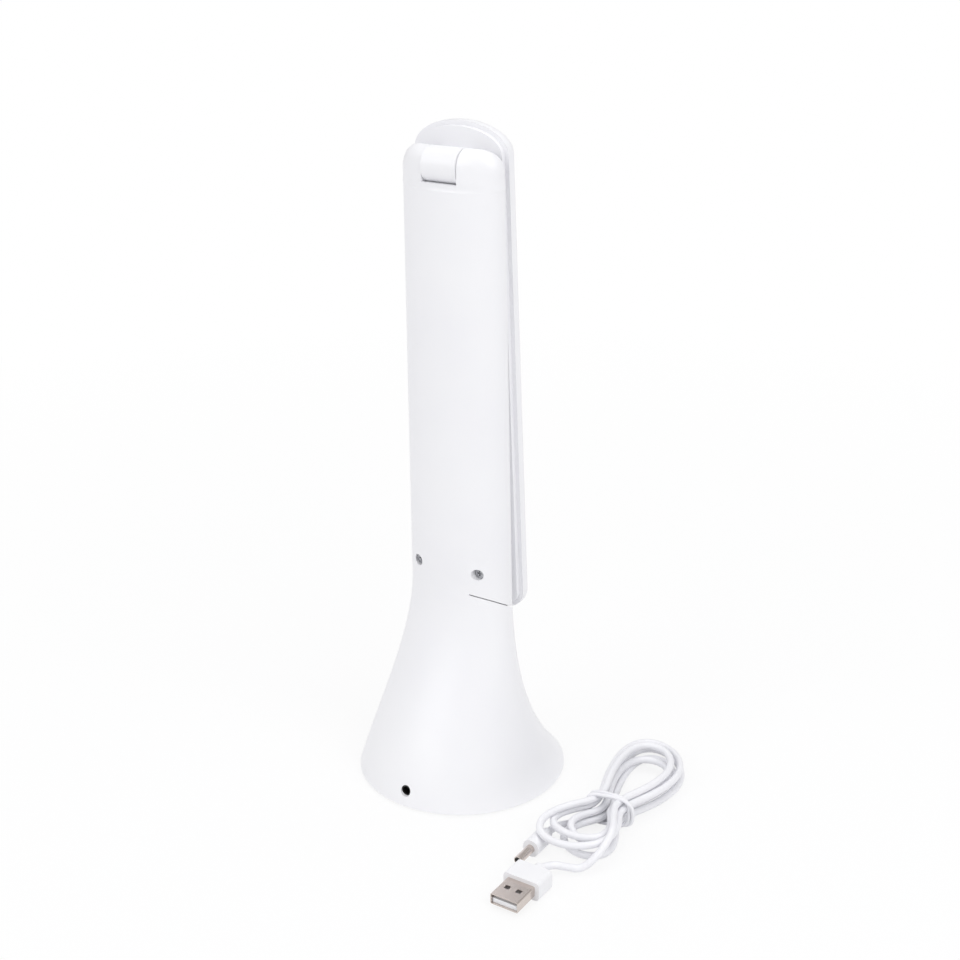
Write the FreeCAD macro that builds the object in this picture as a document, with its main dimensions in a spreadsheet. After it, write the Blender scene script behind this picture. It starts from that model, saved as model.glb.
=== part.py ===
"""Folding LED desk lamp: trumpet foot, oval stem, a head that folds flat on the stem, and its charging
lead.

Millimetres. +Z is up, the origin is on the table under the middle of the foot, +Y is the back with the
charging socket, -Y is the front where the head lies folded, and X runs along the hinge.
"""
import FreeCAD
import Part
import math
import os
import re

from FreeCAD import Placement, Rotation, Vector

X_AXIS = Vector(1, 0, 0)
Y_AXIS = Vector(0, 1, 0)
Z_AXIS = Vector(0, 0, 1)

SIZES = {
    # foot
    "base_radius": 44.0,
    "flare_power": 1.7,
    "trumpet_height": 84.0,
    "back_fullness": 4.7,
    "wall": 2.0,
    "foot_lift": 0.8,
    "foot_radius": 5.0,
    "foot_sink": 0.8,
    "foot_margin": 12.0,
    "plate_thickness": 2.0,
    "plate_gap": 0.25,
    "plate_screw_margin": 10.0,
    "plate_screw_radius": 1.3,
    "plate_screw_head": 2.4,
    "plate_screw_length": 7.0,
    "ballast_radius": 22.0,
    "ballast_thickness": 5.0,
    # neck and stem
    "neck_half_width": 23.25,
    "neck_half_depth": 13.0,
    "neck_shift": -1.07,
    "top_half_width": 21.8,
    "top_half_depth": 10.3,
    "top_shift": 1.7,
    "seam_slope": 0.58,
    "seam_back": 7.3,
    "seam_groove": 0.35,
    "seam_closed": 11.0,
    "spigot_rise": 20.0,
    "panel_thickness": 1.6,
    "fit_gap": 0.15,
    "screw_rise": 11.0,
    "screw_spread": 14.3,
    "screw_seat": 5.6,
    "screw_radius": 1.2,
    "screw_head_radius": 2.2,
    "screw_head_height": 1.5,
    "screw_length": 8.0,
    # hinge
    "hinge_back": 5.3,
    "ear_radius": 6.9,
    "shoulder_radius": 9.0,
    "knuckle_half_width": 7.6,
    "knuckle_gap": 0.25,
    "notch_floor": 6.0,
    "floor_gap": 0.4,
    "pin_radius": 2.0,
    "pin_half_length": 15.0,
    "pin_gap": 0.05,
    "sleeve_wall": 1.0,
    "sleeve_length": 6.0,
    "neck_half_height": 5.0,
    # head
    "head_lean": 2.8,
    "head_gap": 0.5,
    "head_root_half_width": 21.2,
    "head_tip_half_width": 22.7,
    "head_length": 185.5,
    "head_drop": 12.0,
    "arch_rise": 11.5,
    "arch_start": 3.5,
    "head_corner": 8.0,
    "frame_inset": 1.8,
    "frame_thickness": 2.0,
    "shell_depth": 6.5,
    "shell_edge": 4.0,
    "shell_wall": 1.8,
    "cavity_depth": 4.5,
    "window_inset": 7.0,
    "window_top": 20.0,
    "lens_sink": 0.3,
    "lens_flange": 1.2,
    "led_board_thickness": 1.2,
    "led_rows": 12,
    "led_columns": 2,
    "led_size": 3.0,
    "led_height": 0.7,
    "head_ledge_gap": 1.0,
    # button
    "button_height": 40.0,
    "button_radius": 6.0,
    "button_proud": 1.0,
    "button_gap": 0.2,
    "button_rim": 1.3,
    "button_travel": 0.8,
    "switch_size": 6.0,
    "switch_depth": 3.5,
    "switch_board_half": 13.0,
    # battery, board and socket
    "cell_radius": 7.0,
    "cell_length": 50.0,
    "cradle_wall": 1.5,
    "board_thickness": 1.4,
    "board_half_width": 13.0,
    "board_depth": 12.0,
    "board_setback": 21.0,
    "socket_height": 6.8,
    "socket_bore": 1.8,
    "socket_nose": 2.25,
    "socket_depth": 9.5,
    "socket_sink": 0.6,
    "socket_body": 6.4,
    "socket_contact": 1.0,
    "contact_length": 1.6,
    "wire_radius": 0.9,
    "wire_rise": 12.0,
    "wire_step": 9.0,
    "wire_bend_drop": 42.6,
    "wire_run_drop": 17.6,
    # charging lead
    "cord_radius": 1.5,
    "hank_x": -75.5,
    "hank_y": 7.0,
    "hank_pitch": 3.6,
    "upper_reach": 58.0,
    "upper_bend": 14.0,
    "upper_run": 12.0,
    "lower_reach": 31.0,
    "lower_bend": 11.0,
    "lower_run": 7.0,
    "layer_height": 3.6,
    "waist_lift": 1.2,
    "tie_width": 3.0,
    "tie_thickness": 0.7,
    "tie_gap": 0.35,
    "usb_x": -72.0,
    "usb_mouth": 80.6,
    "usb_width": 12.0,
    "usb_height": 4.5,
    "usb_length": 12.0,
    "usb_sheet": 0.4,
    "usb_grip_width": 15.6,
    "usb_grip_height": 7.8,
    "usb_grip_length": 10.0,
    "usb_relief_length": 4.0,
    "relief_radius": 2.4,
    "dc_x": -62.2,
    "dc_tip": 55.0,
    "dc_radius": 1.75,
    "dc_length": 9.5,
    "dc_grip_radius": 3.6,
    "dc_grip_length": 9.0,
    "dc_relief_length": 3.5,
}
SUMS = {
    "foot_circle": "base_radius - foot_margin",
    "plate_screw_circle": "base_radius - plate_screw_margin",
    "board_back": "base_radius - board_setback",
    "spigot_height": "trumpet_height + spigot_rise",
    "screw_height": "trumpet_height + screw_rise",
    "hinge_height": "trumpet_height + head_length - head_drop",
}
HANK_LOOPS = 4.5
HANK_PARTS = (0.0, 0.08, 0.24, 0.5, 0.76, 0.92)
FOOT_FLARE = (0.0, 0.05, 0.12, 0.22, 0.35, 0.5, 0.66, 0.83)
STEM_FLARE = (0.76, 0.88, 1.0)
STEM_RISE = (0.06, 0.13, 0.22, 0.34, 0.48, 0.62, 0.76)
DOME_BELOW = (8.676, 5.6792, 3.2443, 1.3713)
DOME_ANGLES = (0, 12, 24, 36, 48, 60, 71, 80, 86)

doc = FreeCAD.newDocument("desk_lamp")
sheet = doc.addObject("Spreadsheet::Sheet", "sizes")
for row, (alias, value) in enumerate(SIZES.items(), start=1):
    sheet.set("A%d" % row, alias)
    sheet.set("B%d" % row, str(value))
    sheet.setAlias("B%d" % row, alias)
doc.recompute()

nodes = []


def size(name):
    """The number in a named cell of the sheet, or a sum of such cells."""
    if name not in SUMS:
        return float(sheet.get(name))
    words = SUMS[name].replace("+ ", "").replace("- ", "-").split()
    return sum(-size(word[1:]) if word.startswith("-") else size(word) for word in words)


def link(words):
    """A formula in size names, written as the sheet's own expression."""
    def spelled(found):
        word = found.group()
        if word in SUMS:
            return "(%s)" % link(SUMS[word])
        return "sizes." + word if word in SIZES else word

    return re.sub(r"[a-z]\w*", spelled, words)


def bind(thing, **formulas):
    """Ties properties of an object to formulas in size names."""
    for prop, words in formulas.items():
        thing.setExpression(prop, link(words))
    return thing


def place(thing, at=("0", "0", "0"), turn=None):
    """Turns an object and ties its position to three formulas."""
    if turn:
        thing.Placement = Placement(Vector(), turn)
    for letter, words in zip("xyz", at):
        thing.setExpression("Placement.Base." + letter, link(words))
    return thing


def box(name, low, sides):
    """A box with its lowest corner and its three sides as formulas."""
    made = doc.addObject("Part::Box", name)
    bind(made, Length=sides[0], Width=sides[1], Height=sides[2])
    return place(made, low)


def rod(name, radius, length, at, axis):
    """A cylinder that starts at a point and runs along an axis."""
    made = doc.addObject("Part::Cylinder", name)
    bind(made, Radius=radius, Height=length)
    return place(made, at, Rotation(Z_AXIS, axis))


def fuse(name, *pieces):
    made = doc.addObject("Part::MultiFuse", name)
    made.Shapes = list(pieces)
    return made


def common(name, *pieces):
    made = doc.addObject("Part::MultiCommon", name)
    made.Shapes = list(pieces)
    return made


def cut(name, base, *tools):
    made = doc.addObject("Part::Cut", name)
    made.Base = base
    made.Tool = tools[0] if len(tools) == 1 else fuse(name + "_tools", *tools)
    return made


def shape(name, made_shape, placement=None):
    """An object that holds a shape worked out with Part's own functions."""
    made = doc.addObject("Part::Feature", name)
    made.Shape = made_shape
    if placement:
        made.Placement = placement
    return made


def moved(name, thing, placement):
    """A copy of an object's result under one more placement."""
    doc.recompute()
    copy = thing.Shape.copy()
    copy.Placement = placement.multiply(copy.Placement)
    return shape(name, copy)


def node(label, thing):
    """Marks an object as a finished sub-part."""
    thing.Label = label
    nodes.append(thing)
    return thing


def plane(body, role):
    return next(f for f in body.Origin.OriginFeatures if f.Role == role)


def sketch(body, name, role, outline, offset="0"):
    """A sketch of lines and arcs on one of the body's own planes, moved along its normal."""
    made = body.newObject("Sketcher::SketchObject", name)
    made.AttachmentSupport = (plane(body, role), [""])
    made.MapMode = "FlatFace"
    made.setExpression("AttachmentOffset.Base.z", link(offset))
    for curve in outline:
        made.addGeometry(curve, False)
    return made


def pad(body, name, drawn, length):
    made = body.newObject("PartDesign::Pad", name)
    made.Profile = drawn
    bind(made, Length=length)
    return made


def pocket(body, name, drawn, length):
    made = body.newObject("PartDesign::Pocket", name)
    made.Profile = drawn
    made.Reversed = True
    bind(made, Length=length)
    return made


def oval(name, wide, deep, y, z):
    made = doc.addObject("Part::Ellipse", name)
    bind(made, MajorRadius=wide, MinorRadius=deep)
    return place(made, ("0", y, z))


def oval_form(name, inset, flare_steps, stem_steps):
    """A loft of ovals, drawn in by an inset: round at the floor, widening to an oval at the neck and up
    the stem."""
    flare = "(%s + (base_radius - %s) * (1 - %g)^flare_power - %s)"
    lean = "(neck_shift * %g + back_fullness * 6.75 * %g * (1 - %g)^2)"
    straight = "(neck_%s + (top_%s - neck_%s) * %.12g - %s)"
    ovals = []
    for step in flare_steps:
        wide = flare % ("neck_half_width", "neck_half_width", step, inset)
        deep = flare % ("neck_half_depth", "neck_half_depth", step, inset)
        height = "foot_lift + (trumpet_height - foot_lift) * %g" % step
        ovals.append(oval("%s_flare_%d" % (name, len(ovals)), wide, deep, lean % (step, step, step), height))
    for step in stem_steps:
        wide, deep = (straight % (word, word, word, step, inset) for word in ("half_width", "half_depth"))
        middle = "neck_shift + (top_shift - neck_shift) * %.12g" % step
        height = "trumpet_height + (hinge_height + 2 * ear_radius - trumpet_height) * %.12g" % step
        ovals.append(oval("%s_stem_%d" % (name, len(ovals)), wide, deep, middle, height))
    made = doc.addObject("Part::Loft", name)
    made.Sections = ovals
    made.Solid = True
    return made


def foot_section(height):
    """Half width, half depth and middle of the foot's oval at a height."""
    step = (height - size("foot_lift")) / (size("trumpet_height") - size("foot_lift"))
    curve = (1 - step) ** size("flare_power")
    wide = size("neck_half_width") + (size("base_radius") - size("neck_half_width")) * curve
    deep = size("neck_half_depth") + (size("base_radius") - size("neck_half_depth")) * curve
    middle = size("neck_shift") * step + size("back_fullness") * 6.75 * step * (1 - step) ** 2
    return wide, deep, middle


HINGE = Placement(Vector(0, size("hinge_back"), size("hinge_height")), Rotation())
LEAN = HINGE.multiply(Placement(Vector(), Rotation(X_AXIS, -size("head_lean"))))
FAR = 200.0


def front_of(name, distance, lower=0.0):
    """Everything in front of a leaning plane that passes the hinge axis at a distance, down to the head's
    ledge."""
    made = doc.addObject("Part::Box", name)
    made.Length = 2 * FAR
    made.Width = FAR
    made.Height = 2 * FAR
    low = -size("head_length") - size("head_ledge_gap") - lower
    made.Placement = LEAN.multiply(Placement(Vector(-FAR, -distance - FAR, low), Rotation()))
    return made


def above_seam(name, lift):
    """Everything above the slanted seam between foot and stem."""
    made = doc.addObject("Part::Box", name)
    made.Length = 2 * FAR
    made.Width = 2 * FAR
    made.Height = 2 * FAR
    slant = Rotation(X_AXIS, math.degrees(math.atan(size("seam_slope"))))
    seam = Placement(Vector(0, size("seam_back"), size("trumpet_height") + lift), slant)
    made.Placement = seam.multiply(Placement(Vector(-FAR, -FAR, 0), Rotation()))
    return made


def level_slab(name, low, high):
    """A wide slab between two heights."""
    return box(name, ("-100", "-100", low), ("200", "200", "(%s) - (%s)" % (high, low)))


def stem_step(below):
    """How far up the stem's taper, from 0 to 1, a place lies that is a distance below the hinge axis."""
    rise = size("hinge_height") + 2 * size("ear_radius") - size("trumpet_height")
    return (size("hinge_height") - below - size("trumpet_height")) / rise


def stem_dome():
    """The stem's top as a smooth dome: above the hinge axis the ovals shrink along a circle about the
    axis, and their width also falls off along the shoulders' own circle."""
    rise = size("hinge_height") + 2 * size("ear_radius") - size("trumpet_height")
    hinge = stem_step(0)
    steps = [(stem_step(below), 0.0) for below in DOME_BELOW]
    steps += [(hinge, math.radians(angle)) for angle in DOME_ANGLES]
    ovals = []
    for step, angle in steps:
        wide, deep, middle = (size("neck_" + word) + (size("top_" + word) - size("neck_" + word)) * step
                              for word in ("half_width", "half_depth", "shift"))
        height = size("trumpet_height") + rise * step + size("ear_radius") * math.sin(angle)
        shoulder = size("shoulder_radius")
        past = max(0.0, height - (size("hinge_height") + size("ear_radius") - shoulder))
        wide = wide - shoulder + math.sqrt(shoulder ** 2 - past ** 2)
        middle = size("hinge_back") + (middle - size("hinge_back")) * math.cos(angle)
        oval_here = doc.addObject("Part::Ellipse", "dome_%d" % len(ovals))
        oval_here.MajorRadius, oval_here.MinorRadius = wide, deep * math.cos(angle)
        oval_here.Placement = Placement(Vector(0, middle, height), Rotation())
        ovals.append(oval_here)
    made = doc.addObject("Part::Loft", "stem_dome_form")
    made.Sections = ovals
    made.Solid = True
    return made


foot_outer = oval_form("foot_outer_form", "0", FOOT_FLARE + (0.92, 1.0), STEM_RISE[:2])
foot_inner = oval_form("foot_inner_form", "wall", FOOT_FLARE, ())
STEM_STEPS = STEM_RISE + (stem_step(DOME_BELOW[0]),)
stem_outer = fuse("stem_outer_whole", oval_form("stem_outer_form", "0", STEM_FLARE, STEM_STEPS), stem_dome())
stem_inner = oval_form("stem_inner_form", "wall", STEM_FLARE, STEM_STEPS)
sleeve_fit = oval_form("spigot_form", "(wall + fit_gap)", STEM_FLARE, STEM_STEPS)
spigot_core = oval_form("spigot_core_form", "(2 * wall)", STEM_FLARE, STEM_RISE[:3])
SCREW_AT = ["-screw_spread", "screw_spread"]


def button_frame():
    """The button's place: on the front of the foot, with its own Z along the surface's outward normal."""
    height = size("button_height")
    front = foot_section(height)[2] - foot_section(height)[1]
    step = 0.01
    higher = foot_section(height + step)[2] - foot_section(height + step)[1]
    normal = Vector(0, -1, (higher - front) / step)
    return Placement(Vector(0, front, height), Rotation(X_AXIS, normal.cross(X_AXIS), normal, "ZXY"))


BUTTON = button_frame()


def local_rod(name, frame, radius, length, at):
    """A cylinder along a frame's own Z, starting at a point of that frame."""
    made = doc.addObject("Part::Cylinder", name)
    bind(made, Radius=radius, Height=length)
    made.Placement = frame.multiply(Placement(Vector(*at), Rotation()))
    return made


def local_box(name, frame, low, sides):
    made = doc.addObject("Part::Box", name)
    made.Length, made.Width, made.Height = sides
    made.Placement = frame.multiply(Placement(Vector(*low), Rotation()))
    return made


def button_depths():
    """Depths below the surface, along the button's axis: rim top, rim back, plunger end and switch board
    face."""
    rim_top = size("wall") + 0.6
    rim_back = rim_top + 1.0
    plunger_end = rim_back + 1.4
    board_face = plunger_end + size("button_travel") + 0.1 + size("switch_depth")
    return rim_top, rim_back, plunger_end, board_face


def base_shell():
    """The trumpet foot, planed where the head folds, with a spigot for the stem and posts inside."""
    planed = cut("foot_planed", foot_outer, above_seam("foot_seam", 0),
                 front_of("foot_front", size("ear_radius")))
    behind_panel = size("ear_radius") - size("panel_thickness") - size("fit_gap")
    sleeve = common("spigot_band", sleeve_fit,
                    level_slab("spigot_slab", "trumpet_height - 16", "spigot_height"))
    spigot = cut("spigot", sleeve, front_of("spigot_front", behind_panel))
    low_room = common("low_room", foot_inner, level_slab("low_slab", "0", "trumpet_height - 18"))
    high_slab = level_slab("high_slab", "trumpet_height - 19", "spigot_height + 1")
    high_room = common("high_room", spigot_core, high_slab)
    high_room = cut("high_room_behind", high_room, front_of("high_front", behind_panel - size("wall")))
    shell = cut("foot_hollow", fuse("foot_solid", planed, spigot), low_room, high_room)
    bar = box("screw_bar_block", ("-neck_half_width + wall * 2 - 0.5", "-3", "screw_height - 4"),
              ("2 * neck_half_width - 4 * wall + 1", "screw_seat - 1.7 - fit_gap + 3", "8"))
    bar = common("screw_bar", bar, sleeve_fit)
    posts = []
    depths = button_depths()
    for side in (-1, 1):
        at = (side * (size("switch_board_half") - 2.5), 0, -depths[3])
        posts.append(local_rod("switch_post_%d" % (side + 1), BUTTON, "2", "%g" % (depths[3] - 2.5), at))
    plate_top = "foot_lift + plate_thickness"
    for number in range(3):
        angle = math.radians(90 + 60 + 120 * number)
        x, y = ("plate_screw_circle * %.6f" % value for value in (math.cos(angle), math.sin(angle)))
        posts.append(rod("plate_post_%d" % number, "plate_screw_radius + 1.7", "trumpet_height * 0.33",
                         (x, y, plate_top), Z_AXIS))
    shell = common("foot_trimmed", fuse("foot_with_posts", shell, bar, *posts), foot_outer)
    holes = [rod("socket_hole", "socket_nose + 0.05", "20", ("0", "base_radius - 15", "socket_height"),
                 Y_AXIS),
             local_rod("button_hole", BUTTON, "button_radius + button_gap", "12", (0, 0, -6))]
    holes.append(local_rod("rim_room", BUTTON, "button_radius + button_rim + 0.5", "8",
                           (0, 0, -depths[0] + 0.3 - 8)))
    for number, x in enumerate(SCREW_AT):
        holes.append(rod("boss_room_%d" % number, "screw_head_radius + 2", "20",
                         (x, "screw_seat - 1.7 - fit_gap", "screw_height"), Y_AXIS))
        holes.append(rod("bar_hole_%d" % number, "screw_radius + 0.05", "20", (x, "-10", "screw_height"),
                         Y_AXIS))
    for number in range(3):
        angle = math.radians(90 + 60 + 120 * number)
        x, y = ("plate_screw_circle * %.6f" % value for value in (math.cos(angle), math.sin(angle)))
        holes.append(rod("plate_hole_%d" % number, "plate_screw_radius + 0.05", "plate_screw_length",
                         (x, y, "foot_lift"), Z_AXIS))
    return node("base_shell", cut("foot", shell, *holes))


def stem_shell():
    """The oval stem: planed front, round-topped ears, notch for the knuckle and counterbored screw
    bosses."""
    below = level_slab("below_hinge", "0", "hinge_height")
    ear_round = rod("ear_round", "ear_radius", "200", ("-100", "hinge_back", "hinge_height"), X_AXIS)
    kept = common("stem_block", stem_outer, above_seam("stem_seam", 0), fuse("ear_side", below, ear_round))
    planed = cut("stem_planed", kept, front_of("stem_front", size("ear_radius"), 20))
    room = common("stem_room", stem_inner, level_slab("stem_slab", "0", "hinge_height - 2 * ear_radius"))
    hollow = cut("stem_hollow", planed, room)
    bosses = fuse("stem_bosses", *[rod("boss_%d" % number, "screw_head_radius + 1.5", "6",
                                       (x, "screw_seat - 1.6", "screw_height"), Y_AXIS)
                                   for number, x in enumerate(SCREW_AT)])
    solid = fuse("stem_solid", hollow, common("bosses_inside", bosses, stem_outer))
    half = "knuckle_half_width + knuckle_gap"
    notch = [box("notch", ("-(%s)" % half, "-60", "hinge_height - notch_floor"),
                 ("2 * (%s)" % half, "120", "60")),
             rod("notch_round", "ear_radius + floor_gap", "2 * (%s)" % half,
                 ("-(%s)" % half, "hinge_back", "hinge_height"),
                 X_AXIS)]
    holes = [rod("pin_hole", "pin_radius + pin_gap", "pin_half_length + 60",
                 ("-pin_half_length", "hinge_back", "hinge_height"), X_AXIS),
             rod("cap_hole", "pin_radius + 1", "60", ("pin_half_length", "hinge_back", "hinge_height"),
                 X_AXIS),
             rod("wire_hole", "wire_radius + 0.1", "20", ("0", "hinge_back + 1.5", "hinge_height - 20"),
                 Z_AXIS)]
    for number, x in enumerate(SCREW_AT):
        holes.append(rod("head_hole_%d" % number, "screw_head_radius + 0.2", "20",
                         (x, "screw_seat", "screw_height"),
                         Y_AXIS))
        holes.append(rod("shank_hole_%d" % number, "screw_radius + 0.1", "20", (x, "0", "screw_height"),
                         Y_AXIS))
    return node("stem_shell", cut("stem", solid, *notch, *holes, *seam_grooves()))


def seam_grooves():
    """A fine open slot along the seam on each side, closed in the middle of the back."""
    grooves = []
    slant = Rotation(X_AXIS, math.degrees(math.atan(size("seam_slope"))))
    seam = Placement(Vector(0, size("seam_back"), size("trumpet_height")), slant)
    for side in (-1, 1):
        slot = doc.addObject("Part::Box", "groove_slot_%d" % (side + 1))
        slot.Length = FAR
        slot.Width = 2 * FAR
        slot.Height = size("seam_groove") + 1
        start = size("seam_closed") if side > 0 else -size("seam_closed") - FAR
        slot.Placement = seam.multiply(Placement(Vector(start, -FAR, -1), Rotation()))
        grooves.append(slot)
    return grooves


def stem_front_panel():
    """The flat cover that closes the stem's planed front."""
    back = size("ear_radius") - size("panel_thickness")
    slab = cut("panel_slab", front_of("panel_back", back), front_of("panel_front", size("ear_radius")))
    lift = size("fit_gap") / math.cos(math.atan(size("seam_slope")))
    ends = level_slab("panel_ends", "0", "hinge_height - 2 * ear_radius - fit_gap")
    return node("stem_front_panel", common("panel", sleeve_fit, slab, above_seam("panel_seam", lift), ends))


def stem_screws():
    screws = []
    for number, x in enumerate(SCREW_AT):
        head = rod("screw_head_%d" % number, "screw_head_radius", "screw_head_height",
                   (x, "screw_seat", "screw_height"),
                   Y_AXIS)
        shank = rod("screw_shank_%d" % number, "screw_radius", "screw_length",
                    (x, "screw_seat - screw_length", "screw_height"), Y_AXIS)
        slots = []
        for wide, tall in (("2.4", "0.6"), ("0.6", "2.4")):
            slots.append(box("cross_%d_%s" % (number, wide.replace(".", "")),
                             ("%s - %s / 2" % (x, wide), "screw_seat + screw_head_height - 0.7",
                              "screw_height - %s / 2" % tall), (wide, "2", tall)))
        screws.append(cut("screw_%d" % number, fuse("screw_body_%d" % number, head, shank), *slots))
    doc.recompute()
    return node("stem_screws", shape("screws", Part.makeCompound([screw.Shape for screw in screws])))


def base_plate():
    """The bottom plate, tapered with the foot's inside, with pockets for the feet and two posts for the
    board."""
    low = size("foot_lift")
    top = low + size("plate_thickness")
    reach = [foot_section(height)[1] - abs(foot_section(height)[2]) - size("wall") - size("plate_gap")
             for height in (low, top)]
    disc = doc.addObject("Part::Cone", "plate_disc")
    disc.Radius1, disc.Radius2 = reach
    bind(disc, Height="plate_thickness")
    place(disc, ("0", "0", "foot_lift"))
    board_low = "socket_height + socket_body / 2"
    posts = [rod("board_post_%d" % (side + 1), "2", "%s - foot_lift" % board_low,
                 ("%d * (board_half_width - 3)" % side, "max(ballast_radius + 3; board_back + 2)",
                  "foot_lift"), Z_AXIS) for side in (-1, 1)]
    pockets = []
    for x, y in foot_places():
        pockets.append(rod("foot_pocket_%d" % len(pockets), "foot_radius + 0.05", "foot_sink",
                           (x, y, "foot_lift"), Z_AXIS))
    for number in range(3):
        angle = math.radians(90 + 60 + 120 * number)
        x, y = ("plate_screw_circle * %.6f" % value for value in (math.cos(angle), math.sin(angle)))
        pockets.append(rod("plate_way_%d" % number, "plate_screw_radius + 0.2", "20", (x, y, "0"), Z_AXIS))
        pockets.append(rod("plate_sink_%d" % number, "plate_screw_head + 0.2", "plate_thickness / 2",
                           (x, y, "foot_lift"),
                           Z_AXIS))
    return node("base_plate", cut("plate", fuse("plate_body", disc, *posts), *pockets))


def foot_places():
    return [("foot_circle * %.6f" % math.cos(angle), "foot_circle * %.6f" % math.sin(angle))
            for angle in (math.radians(45 + 90 * number) for number in range(4))]


def rubber_feet():
    feet = [rod("rubber_%d" % number, "foot_radius", "foot_lift + foot_sink", (x, y, "0"), Z_AXIS)
            for number, (x, y) in enumerate(foot_places())]
    doc.recompute()
    return node("rubber_feet", shape("feet", Part.makeCompound([foot.Shape for foot in feet])))


def base_plate_screws():
    screws = []
    for number in range(3):
        angle = math.radians(90 + 60 + 120 * number)
        x, y = ("plate_screw_circle * %.6f" % value for value in (math.cos(angle), math.sin(angle)))
        head = rod("plate_head_%d" % number, "plate_screw_head", "0.9",
                   (x, y, "foot_lift + plate_thickness / 2 - 0.9"),
                   Z_AXIS)
        shank = rod("plate_shank_%d" % number, "plate_screw_radius", "plate_screw_length - 1.5",
                    (x, y, "foot_lift + plate_thickness / 2"), Z_AXIS)
        screws.append(fuse("plate_screw_%d" % number, head, shank))
    doc.recompute()
    return node("base_plate_screws",
                shape("plate_screws", Part.makeCompound([screw.Shape for screw in screws])))


def ballast_and_battery():
    """Steel disc on the plate, and the cell in its cradle on the disc."""
    node("ballast_disc",
         rod("ballast", "ballast_radius", "ballast_thickness", ("0", "0", "foot_lift + plate_thickness"),
                             Z_AXIS))
    floor = "foot_lift + plate_thickness + ballast_thickness"
    axis_height = floor + " + cradle_wall + cell_radius"
    block = box("cradle_block", ("-cell_length / 2 - cradle_wall", "-cell_radius - cradle_wall", floor),
                ("cell_length + 2 * cradle_wall", "2 * cell_radius + 2 * cradle_wall",
                 "cradle_wall + cell_radius"))
    trough = rod("cradle_trough", "cell_radius + fit_gap", "cell_length + 2 * fit_gap",
                 ("-cell_length / 2 - fit_gap", "0", axis_height), X_AXIS)
    node("battery_cradle", cut("cradle", block, trough))
    node("battery_cell",
         rod("cell", "cell_radius", "cell_length", ("-cell_length / 2", "0", axis_height + " - fit_gap"),
                             X_AXIS))


def board_and_socket():
    """Board on its posts, with the charging socket hung under it, its nose in the foot's hole."""
    top = "socket_height + socket_body / 2"
    node("control_board", box("board", ("-board_half_width", "board_back", top),
                              ("2 * board_half_width", "board_depth", "board_thickness")))
    deep = foot_section(size("socket_height"))
    mouth = deep[1] + deep[2] - size("socket_sink")
    body_back = mouth - size("socket_depth") - size("contact_length") - 0.6
    body_front = size("board_back") + size("board_depth")
    body = box("socket_block", ("-socket_body / 2 - 1", "%g" % body_back, "socket_height - socket_body / 2"),
               ("socket_body + 2", "%g" % (body_front - body_back), "socket_body"))
    nose = rod("socket_nose", "socket_nose", "%g" % (mouth - body_back),
               ("0", "%g" % body_back, "socket_height"), Y_AXIS)
    bore = rod("socket_bore", "socket_bore", "socket_depth",
               ("0", "%g - socket_depth" % mouth, "socket_height"), Y_AXIS)
    seat = ("0", "%g - socket_depth - contact_length" % mouth, "socket_height")
    root = rod("socket_root", "socket_contact", "contact_length", seat, Y_AXIS)
    node("dc_jack", cut("socket", fuse("socket_body", body, nose), bore, root))
    node("dc_jack_contact", rod("socket_contact_disc", "socket_contact", "contact_length", seat, Y_AXIS))


def switch_parts():
    """The switch on its little board behind the button, and the button with its rim and plunger."""
    rim_top, rim_back, plunger_end, board_face = button_depths()
    half = size("switch_board_half")
    node("switch_board",
         local_box("switch_card", BUTTON, (-half, -6, -board_face - 1.2), (2 * half, 12, 1.2)))
    side = size("switch_size")
    can = local_box("switch_can", BUTTON, (-side / 2, -side / 2, -board_face),
                    (side, side, size("switch_depth") - 0.9))
    nub = local_rod("switch_nub", BUTTON, "switch_size * 0.28", "0.9",
                    (0, 0, -board_face + size("switch_depth") - 0.9))
    node("tact_switch", fuse("switch", can, nub))
    cap = local_rod("button_cap", BUTTON, "button_radius", "%g + button_proud" % rim_back, (0, 0, -rim_back))
    doc.recompute()
    crown = doc.addObject("Part::Fillet", "button_crown")
    crown.Base = cap
    far = [number for number, edge in enumerate(cap.Shape.Edges, start=1)
           if edge.Curve.TypeId == "Part::GeomCircle"
           and BUTTON.inverse().multVec(edge.CenterOfMass).z > 0]
    crown.Edges = [(number, 0.8, 0.8) for number in far]
    rim = local_rod("button_rim", BUTTON, "button_radius + button_rim", "%g" % (rim_back - rim_top),
                    (0, 0, -rim_back))
    plunger = local_rod("button_plunger", BUTTON, "1.5", "%g" % (plunger_end - rim_back),
                        (0, 0, -plunger_end))
    node("power_button", fuse("button", crown, rim, plunger))


def hinge_parts():
    """Pin across the ears with its end cap, and the two friction sleeves in the knuckle."""
    node("hinge_pin",
         rod("pin", "pin_radius", "2 * pin_half_length", ("-pin_half_length", "hinge_back", "hinge_height"),
                          X_AXIS))
    cap = rod("cap_rod", "pin_radius + 0.95", "60", ("pin_half_length", "hinge_back", "hinge_height"),
              X_AXIS)
    node("hinge_pin_cap", common("cap", cap, stem_outer))
    sleeves = []
    for number, start in enumerate(("-knuckle_half_width", "knuckle_half_width - sleeve_length")):
        at = (start, "hinge_back", "hinge_height")
        tube = rod("sleeve_%d" % number, "pin_radius + pin_gap + sleeve_wall", "sleeve_length", at, X_AXIS)
        hole = rod("sleeve_hole_%d" % number, "pin_radius + pin_gap", "sleeve_length", at, X_AXIS)
        sleeves.append(cut("friction_%d" % number, tube, hole))
    doc.recompute()
    node("friction_sleeves", shape("sleeves", Part.makeCompound([sleeve.Shape for sleeve in sleeves])))


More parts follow.
